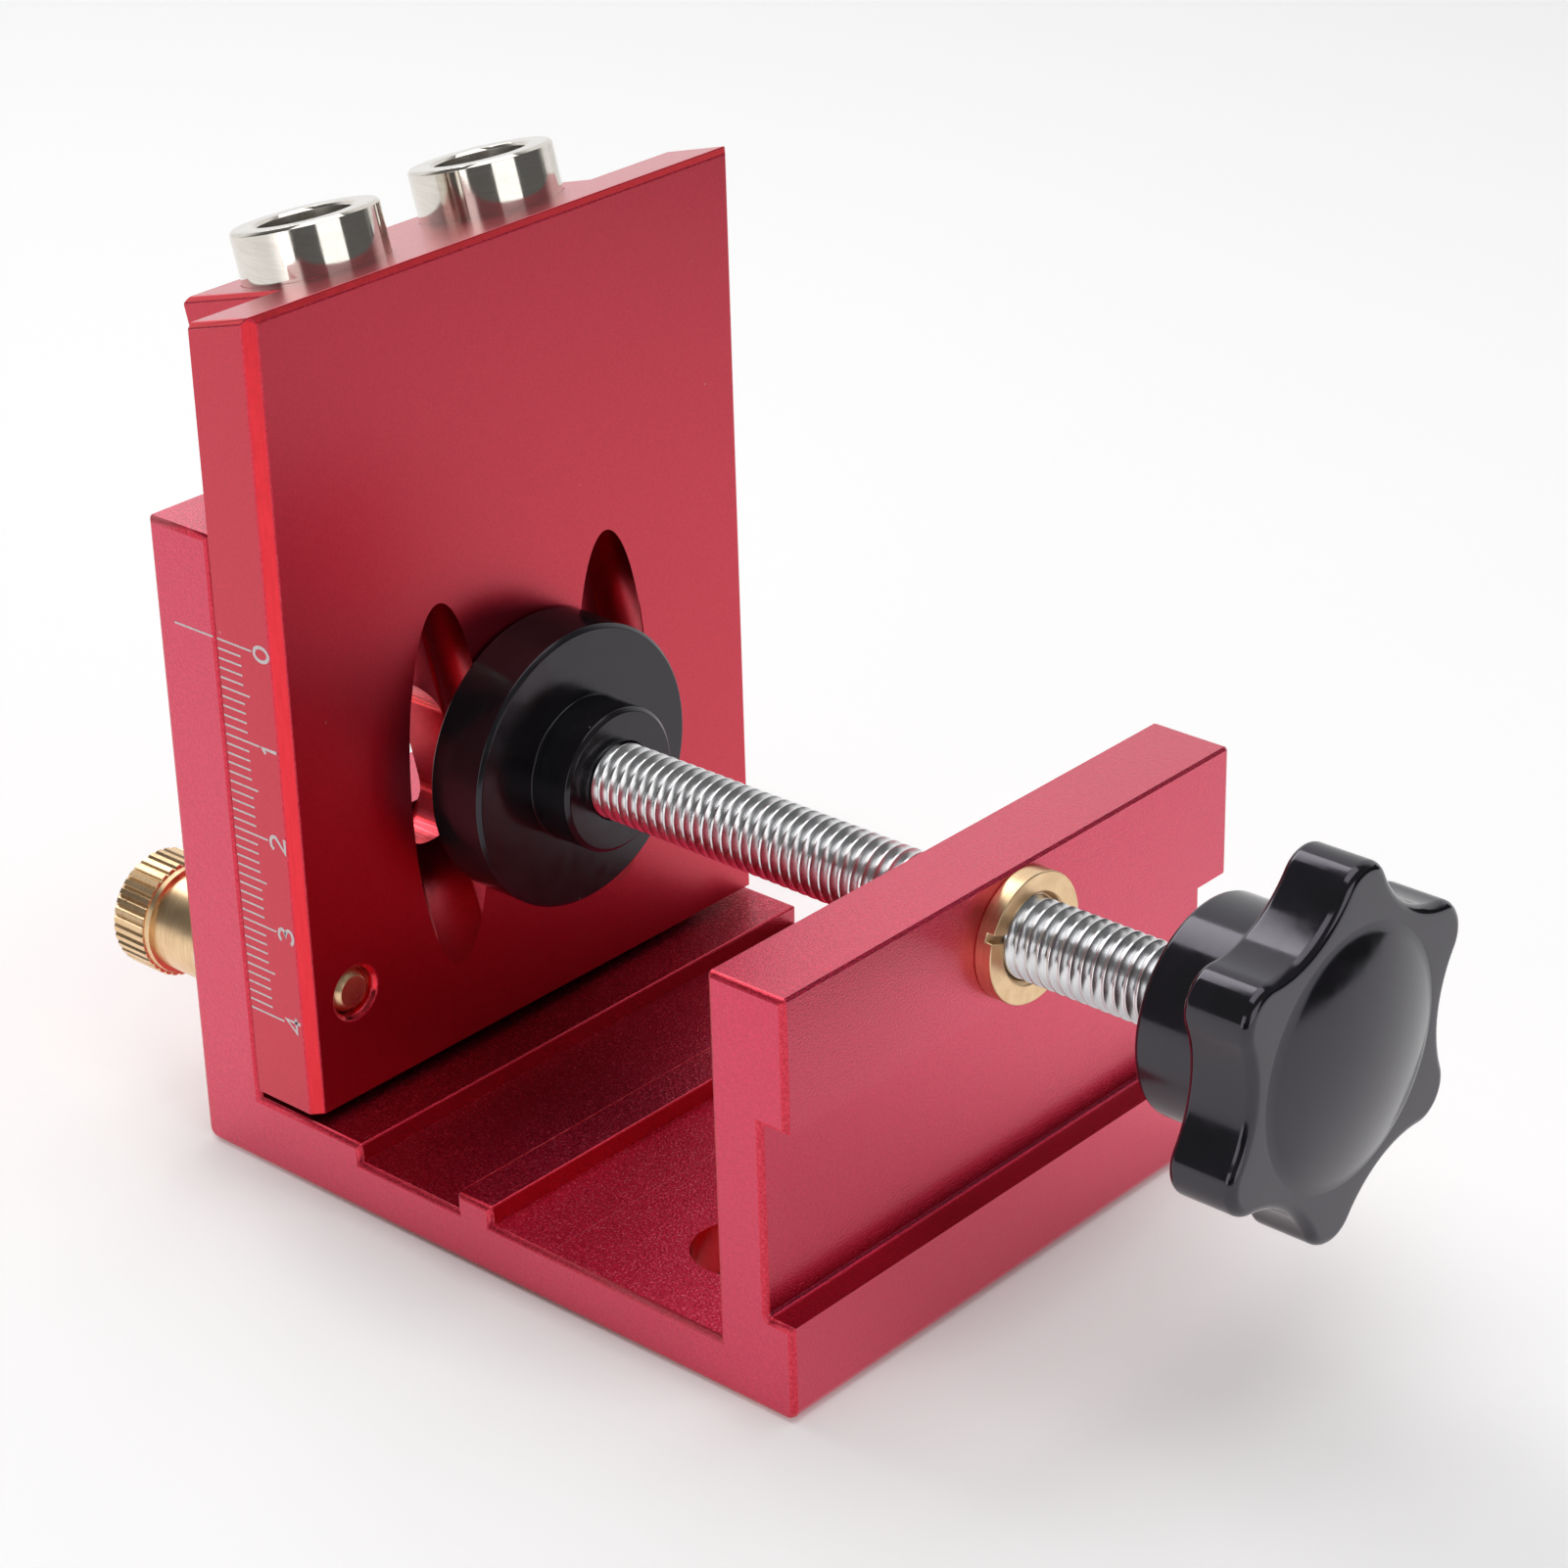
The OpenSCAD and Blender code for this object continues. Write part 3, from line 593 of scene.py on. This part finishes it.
def build_clamp_screw():
    thread = helix(Shell(), THREAD_LOW, THREAD_TOP, M8_PITCH, M8_PROFILE)
    obj = thread.piece("clamp_screw_thread", CLAMP, [(THREAD_TOP, 1), (THREAD_LOW, -1)])
    dress(obj, "clamp", ["zinc"], ["clamp_screw"])
    journal = [
        (0, -22.1), (2.6, -22.1), (3.0, -21.7), (3.0, -20.9), (2.5, -20.9), (2.5, -20.0), (3.0, -20.0),
        (3.0, THREAD_LOW), (0, THREAD_LOW)]
    shell = Shell().lathe(soften(journal, 0.05, False), False, 64)
    dress(shell.piece("clamp_screw_journal", CLAMP), "clamp", ["zinc"])
    hexagon = [(HEX_R * math.cos(TURN * k / 6), HEX_R * math.sin(TURN * k / 6)) for k in range(6)]
    sides = [[(y, z, place) for y, z in hexagon] for place in (HEX_LOW, HEX_TOP)]
    shell = Shell().rings([[(0, 0, HEX_LOW)], *sides, [(0, 0, HEX_TOP)]], False)
    dress(shell.piece("clamp_screw_head", CLAMP), "clamp", ["zinc"])


KNURL_R = 6.25


def knurl_ring(place, top, teeth=38, depth=0.26):
    """One ring of a straight knurl whose teeth are cut off at a radius."""
    shape = [(0.00, 0.0), (0.30, 0.0), (0.45, 0.75), (0.52, 1.0), (0.58, 1.0), (0.65, 0.75), (0.80, 0.0)]
    points = []
    for i in range(teeth):
        for share, cut in shape:
            a = TURN * (i + share) / teeth
            r = min(KNURL_R - cut * depth, top)
            points.append((r * math.cos(a), r * math.sin(a), place))
    return points


def build_lock_screw():
    """Knurled head, plain neck and a threaded stud with a chamfered tip."""
    whole, neck, stud_end = KNURL_R + 1, -40.8, -23.9
    count = len(knurl_ring(0, whole))
    circle = [(math.cos(TURN * j / count), math.sin(TURN * j / count)) for j in range(count)]

    def plain(r, place):
        return [(r * y, r * z, place) for y, z in circle]

    rings = [
        [(0, 0, -52.75)], plain(5.45, -52.75), knurl_ring(-52.70, 5.62), knurl_ring(-52.2, 6.15),
        knurl_ring(-52.1, whole), knurl_ring(-47.9, whole), knurl_ring(-47.8, 6.15), plain(5.9, -47.78),
        plain(5.75, -47.3), plain(5.3, -47.25), plain(5.3, neck - 0.2), plain(5.1, neck), [(0, 0, neck)]]
    head = Shell().rings(rings, False).piece("lock_screw_head", LOCK)
    dress(head, "lock", ["brass"], ["lock_screw"])
    thread = helix(Shell(), neck, stud_end, M5_PITCH, M5_PROFILE, 48)
    stud = thread.piece("lock_screw_stud", LOCK, [(stud_end, 1), (neck, -1)])
    dress(stud, "lock", ["brass"])
    tip = [(0, stud_end), (2.45, stud_end), (1.65, stud_end + 0.8), (0, stud_end + 0.8)]
    end = Shell().lathe(soften(tip, 0.08, False), False, 64).piece("lock_screw_tip", LOCK)
    dress(end, "lock", ["brass"])


def build_nut():
    obj = cad_copy("clamp_nut", "clamp_nut_dressed", 0.10, 2)
    dress(obj, "base", ["brass"], ["clamp_nut"])


# Star knob

LOBES, LOBE_TURN = 6, math.radians(23.7)
LOBE_R, LOBE_AT, VALLEY_R = 3.6, 14.7, 14.5
HUB_R, HUB_LOW, HUB_ROUND = 10.65, 61.1, 0.65
STAR_LOW, STAR_TOP, LOW_ROUND, TOP_ROUND = 69.7, 76.7, 0.8, 1.0
DOME_R, DOME_H = 12.5, 2.3


def star(inset, steps=14):
    """Outline of the star moved inwards by inset: arcs of the lobes and of the hollows that touch them."""
    half = math.pi / LOBES
    near = VALLEY_R - LOBE_R
    hollow_at = (LOBE_AT ** 2 - near ** 2) / (2 * (LOBE_AT * math.cos(half) - near))
    hollow_r = hollow_at - VALLEY_R
    hollow = Vector((hollow_at * math.cos(half), hollow_at * math.sin(half)))
    lobe = Vector((LOBE_AT, 0))
    touch = (hollow - lobe).to_2d()
    lobe_end = math.atan2(touch.y, touch.x)
    hollow_start = math.atan2(-touch.y, -touch.x) % TURN
    hollow_mid = half + math.pi
    points = []
    for i in range(LOBES):
        for side in (-1, 1):
            arc = []
            for k in range(steps):
                a = lobe_end * k / steps
                arc.append(lobe + Vector((math.cos(a), math.sin(a))) * (LOBE_R - inset))
            for k in range(steps):
                a = hollow_start + (hollow_mid - hollow_start) * k / steps
                arc.append(hollow + Vector((math.cos(a), math.sin(a))) * (hollow_r + inset))
            if side < 0:
                arc = [Vector((p.x, -p.y)) for p in arc]
                middle = hollow + Vector((math.cos(hollow_mid), math.sin(hollow_mid))) * (hollow_r + inset)
                arc = [Vector((middle.x, -middle.y))] + arc[:0:-1]
            turn = Matrix.Rotation(LOBE_TURN + 2 * half * i, 2)
            points.extend(turn @ p for p in arc)
    return points


def build_knob():
    outline = star(0)
    angles = [math.atan2(p.y, p.x) for p in outline]

    def at(place, inset):
        return [(p.x, p.y, place) for p in star(inset)]

    def plain(r, place):
        return [(r * math.cos(a), r * math.sin(a), place) for a in angles]

    def hexagon(r, place):
        """Ring on a hexagon with the given corner radius."""
        out = []
        for a in angles:
            off = (a % (TURN / 6)) - TURN / 12
            d = r * math.cos(TURN / 12) / math.cos(off)
            out.append((d * math.cos(a), d * math.sin(a), place))
        return out

    def fillet(corner, radius, first, last, steps=5):
        """(place, inset) points of a quarter round between two directions."""
        return [(corner[0] + radius * math.sin(a), corner[1] - radius * math.cos(a))
                for a in (first + (last - first) * k / steps for k in range(steps + 1))]

    quarter, socket_r, bore_r = math.pi / 2, HEX_R + 0.02, 4.02
    rings = [
        [(0, 0, HEX_TOP)], hexagon(socket_r, HEX_TOP), hexagon(socket_r, HEX_LOW), plain(bore_r, HEX_LOW),
        plain(bore_r, HUB_LOW + 0.4), plain(4.4, HUB_LOW), plain(HUB_R - HUB_ROUND, HUB_LOW)]
    hub_round = fillet((HUB_LOW + HUB_ROUND, HUB_ROUND), HUB_ROUND, -quarter, 0)
    rings += [plain(HUB_R - inset, place) for place, inset in hub_round]
    rings += [plain(HUB_R, 69.2), plain(10.75, 69.5), plain(11.15, STAR_LOW)]
    rings += [at(*p) for p in fillet((STAR_LOW + LOW_ROUND, LOW_ROUND), LOW_ROUND, -quarter, 0)]
    rings += [at(*p) for p in fillet((STAR_TOP - TOP_ROUND, TOP_ROUND), TOP_ROUND, 0, quarter)]
    rings += [plain(DOME_R + 0.1, STAR_TOP)]
    ball_r = (DOME_R ** 2 + DOME_H ** 2) / (2 * DOME_H)
    rim, steps = math.asin(DOME_R / ball_r), 12
    for k in range(steps):
        a = rim * (1 - k / steps)
        rings.append(plain(ball_r * math.sin(a), STAR_TOP + DOME_H - ball_r * (1 - math.cos(a))))
    rings.append([(0, 0, STAR_TOP + DOME_H)])
    obj = Shell().rings(rings, False).piece("star_knob_dressed", CLAMP)
    dress(obj, "clamp", ["gloss"], ["star_knob"])


# Scale on the slab's side and index line on the wall's end

def ribbon(shell, path, width, at_y, thick=0.02, closed=False):
    """Flat line of the given width along (x, z) points, standing a little out of the face at_y."""
    points = [Vector(p) for p in path]
    count = len(points)
    left, right = [], []
    for i, p in enumerate(points):
        before = points[i - 1] if closed or i else None
        after = points[(i + 1) % count] if closed or i < count - 1 else None
        a = (p - before).normalized() if before else None
        b = (after - p).normalized() if after else None
        along = ((a or b) + (b or a)).normalized()
        side = Vector((-along.y, along.x))
        stretch = 1 / max(0.6, side.dot(Vector((-(a or b).y, (a or b).x))))
        left.append(p + side * (width / 2 * stretch))
        right.append(p - side * (width / 2 * stretch))
    verts, faces = [], []
    for l, r in zip(left, right):
        for q in (l, r):
            verts += [(q.x, at_y - thick, q.y), (q.x, at_y + thick, q.y)]
    spans = range(count if closed else count - 1)
    for i in spans:
        a, b = 4 * i, 4 * ((i + 1) % count)
        faces += [
            [a, b, b + 2, a + 2], [a + 1, a + 3, b + 3, b + 1], [a, a + 1, b + 1, b],
            [a + 2, b + 2, b + 3, a + 3]]
    if not closed:
        last = 4 * (count - 1)
        faces += [[0, 2, 3, 1], [last, last + 1, last + 3, last + 2]]
    shell.add(verts, faces)


def arc(cx, cy, rx, ry, first, last, steps):
    turns = [math.radians(first + (last - first) * k / steps) for k in range(steps + 1)]
    return [(cx + rx * math.cos(a), cy + ry * math.sin(a)) for a in turns]


# Strokes of each digit on a field of height 1, as (points, closed)
DIGITS = {
    0: [(arc(0.31, 0.5, 0.29, 0.5, 90, 430, 22)[:22], True)],
    1: [([(0.10, 0.78), (0.30, 1.0), (0.30, 0.0)], False)],
    2: [(arc(0.30, 0.72, 0.28, 0.28, 165, -30, 10) + [(0.02, 0.0), (0.62, 0.0)], False)],
    3: [(arc(0.28, 0.76, 0.26, 0.24, 160, -90, 10) + arc(0.28, 0.26, 0.30, 0.26, 90, -160, 12)[1:],
         False)],
    4: [([(0.46, 0.0), (0.46, 1.0), (0.0, 0.30), (0.66, 0.30)], False)],
}


def build_scale():
    zero_z, start_x, line, stroke = 58.2, SLAB_BACK_X + 0.12, 0.20, 0.36
    shell = Shell()
    for mm in range(41):
        long = 4.8 if mm % 10 == 0 else 4.0 if mm % 5 == 0 else 3.2
        z = zero_z - mm
        ribbon(shell, [(start_x, z), (start_x + long, z)], line, SIDE_Y)
    foot_x, middle, height, wide = -24.12, 0.31, 2.0, 2.5
    for digit, strokes in DIGITS.items():
        for path, closed in strokes:
            turned_path = [
                (foot_x - y * height, zero_z - 10 * digit + (x - middle) * wide) for x, y in path]
            ribbon(shell, turned_path, stroke, SIDE_Y, closed=closed)
    dress(shell.piece("depth_scale"), "guide", ["marking"])
    index = Shell()
    ribbon(index, [(-37.4, zero_z), (-31.9, zero_z)], line, SIDE_Y)
    dress(index.piece("index_line"), "base", ["marking"])


build_base()
build_guide()
build_bushing(-1, "drill_bushing_left")
build_bushing(1, "drill_bushing_right")
build_pad()
build_washer()
build_clamp_screw()
build_lock_screw()
build_nut()
build_knob()
build_scale()
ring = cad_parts["pad_retaining_ring"]
ring.data.materials.clear()
ring.data.materials.append(MATS["zinc"])


# Stage: pale floor, soft light from all sides and a camera as in the photograph

# Direction of the white sweep, behind the object as the camera sees it, and where its edge fades
SWEEP = (-0.673, 0.740, 0.0)
SWEEP_EDGE = (0.25, 0.62)
# First and last bearing of each dark card, in degrees from +X
FLAGS = ((-70, -27), (8, 72))
# Distances from the middle, in metres, between which the floor's glow grows by a height; no glow under the
# object, a painted shade there
GLOW_STEPS = ((0.030, 0.048, 0.185), (0.55, 1.1, 0.40))
# Brightness of the room and of the sweep
ROOM, BACKDROP = 0.12, 0.9
# The photograph's camera: fitted focal length and width in pixels, place in metres and turns in degrees
FOCAL_PX, PHOTO_PX, SENSOR_MM = 4202.12, 1601, 36
CAMERA_PLACE = (0.248672, -0.260774, 0.216911)
AZIMUTH, ELEVATION, ROLL = 42.308, 26.204, -1.622


def glow(tree, socket):
    """Lifts the floor's white where the camera, metal or glass sees it, without more light on the object.
    It fades out under the object, a painted shade there, and grows behind the lamps."""
    place = tree.nodes.new("ShaderNodeVectorMath")
    place.operation = "LENGTH"
    tree.links.new(tree.nodes.new("ShaderNodeTexCoord").outputs["Object"], place.inputs[0])
    outside = tree.nodes.new("ShaderNodeMath")
    outside.operation = "ADD"
    for term, (first, last, height) in zip(outside.inputs, GLOW_STEPS):
        step = tree.nodes.new("ShaderNodeMapRange")
        for key, value in (("From Min", first), ("From Max", last), ("To Min", 0.0), ("To Max", height)):
            step.inputs[key].default_value = value
        tree.links.new(place.outputs["Value"], step.inputs["Value"])
        tree.links.new(step.outputs["Result"], term)
    path = tree.nodes.new("ShaderNodeLightPath")
    seen = path.outputs["Is Camera Ray"]
    for ray in ("Is Glossy Ray", "Is Transmission Ray"):
        either = tree.nodes.new("ShaderNodeMath")
        either.operation = "MAXIMUM"
        tree.links.new(seen, either.inputs[0])
        tree.links.new(path.outputs[ray], either.inputs[1])
        seen = either.outputs["Value"]
    strength = tree.nodes.new("ShaderNodeMath")
    strength.operation = "MULTIPLY"
    tree.links.new(seen, strength.inputs[0])
    tree.links.new(outside.outputs["Value"], strength.inputs[1])
    tree.links.new(strength.outputs["Value"], socket)


def build_floor():
    bm = bmesh.new()
    bmesh.ops.create_grid(bm, x_segments=1, y_segments=1, size=3.0)
    mesh = bpy.data.meshes.new("floor")
    bm.to_mesh(mesh)
    bm.free()
    obj = bpy.data.objects.new("floor", mesh)
    obj.location = (0, 0, -0.0002)
    bpy.context.scene.collection.objects.link(obj)
    mat = bpy.data.materials.new("floor")
    mat.use_nodes = True
    shader = mat.node_tree.nodes["Principled BSDF"]
    shader.inputs["Base Color"].default_value = (0.93, 0.93, 0.93, 1)
    shader.inputs["Roughness"].default_value = 0.9
    shader.inputs["Specular IOR Level"].default_value = 0.1
    shader.inputs["Emission Color"].default_value = (1, 1, 1, 1)
    glow(mat.node_tree, shader.inputs["Emission Strength"])
    mesh.materials.append(mat)


def add_lamp(name, place, target, size, watts):
    data = bpy.data.lights.new(name, "AREA")
    data.shape = "RECTANGLE"
    data.size, data.size_y = size
    data.energy = watts
    lamp = bpy.data.objects.new(name, data)
    lamp.location = place
    lamp.rotation_euler = (Vector(target) - Vector(place)).to_track_quat("-Z", "Y").to_euler()
    bpy.context.scene.collection.objects.link(lamp)


def build_flags():
    """Low dark cards beside the camera and at the right, out of the picture. Only reflections show them."""
    shell = Shell()
    radius, height, steps = 340, 90, 12
    for first, last in FLAGS:
        turns = [math.radians(first + (last - first) * k / steps) for k in range(steps + 1)]
        verts = [(radius * math.cos(a), radius * math.sin(a), z) for a in turns for z in (0, height)]
        shell.add(verts, [[2 * k, 2 * k + 2, 2 * k + 3, 2 * k + 1] for k in range(steps)])
    obj = shell.piece("flags")
    mat = bpy.data.materials.new("flags")
    mat.use_nodes = True
    shader = mat.node_tree.nodes["Principled BSDF"]
    shader.inputs["Base Color"].default_value = (0.03, 0.03, 0.03, 1)
    shader.inputs["Roughness"].default_value = 0.9
    shader.inputs["Specular IOR Level"].default_value = 0.0
    obj.data.materials.append(mat)
    obj.visible_camera = obj.visible_diffuse = obj.visible_shadow = False


def build_light():
    """A dim room with a white sweep behind the object, and soft boxes above, behind and beside it. The camera
    sees the whole room as pale as the sweep."""
    world = bpy.data.worlds.new("studio")
    bpy.context.scene.world = world
    world.use_nodes = True
    nodes, links = world.node_tree.nodes, world.node_tree.links
    sweep = nodes.new("ShaderNodeVectorMath")
    sweep.operation = "DOT_PRODUCT"
    sweep.inputs[1].default_value = SWEEP
    links.new(nodes.new("ShaderNodeTexCoord").outputs["Generated"], sweep.inputs[0])
    part = nodes.new("ShaderNodeMapRange")
    part.interpolation_type = "SMOOTHSTEP"
    for key, value in zip(("From Min", "From Max", "To Max"), (*SWEEP_EDGE, BACKDROP)):
        part.inputs[key].default_value = value
    room = nodes.new("ShaderNodeMapRange")
    room.inputs["To Min"].default_value = ROOM
    room.inputs["To Max"].default_value = BACKDROP
    links.new(nodes.new("ShaderNodeLightPath").outputs["Is Camera Ray"], room.inputs["Value"])
    links.new(room.outputs["Result"], part.inputs["To Min"])
    links.new(sweep.outputs["Value"], part.inputs["Value"])
    links.new(part.outputs["Result"], nodes["Background"].inputs["Strength"])
    nodes["Background"].inputs["Color"].default_value = (1, 1, 1, 1)
    add_lamp("overhead", (0.10, 0.0, 0.80), (0.05, 0, 0), (0.7, 0.7), 2.7)
    add_lamp("behind", (-0.54, 0.11, 0.71), (0, 0, 0.03), (0.46, 0.46), 2.0)
    add_lamp("right", (0.79, -0.11, 0.21), (0, 0, 0.10), (0.56, 0.40), 1.0)
    add_lamp("left", (0.07, -0.80, 0.21), (0, 0, 0.10), (0.48, 0.40), 0.9)


def build_camera():
    azimuth, elevation, roll = (math.radians(turn) for turn in (AZIMUTH, ELEVATION, ROLL))
    level_x, level_y = math.sin(azimuth), -math.cos(azimuth)
    back = Vector((level_x * math.cos(elevation), level_y * math.cos(elevation), math.sin(elevation)))
    level = Vector((0, 0, 1)).cross(back).normalized()
    upright = back.cross(level)
    right = level * math.cos(roll) + upright * math.sin(roll)
    up = back.cross(right)
    data = bpy.data.cameras.new("camera")
    data.sensor_width = SENSOR_MM
    data.lens = SENSOR_MM * FOCAL_PX / PHOTO_PX
    data.clip_start, data.clip_end = 0.01, 20
    cam = bpy.data.objects.new("camera", data)
    rows = [[right[i], up[i], back[i]] for i in range(3)]
    cam.matrix_world = Matrix.Translation(CAMERA_PLACE) @ Matrix(rows).to_4x4()
    bpy.context.scene.collection.objects.link(cam)
    bpy.context.scene.camera = cam


build_floor()
build_flags()
build_light()
build_camera()
bpy.context.scene.view_settings.view_transform = "Standard"
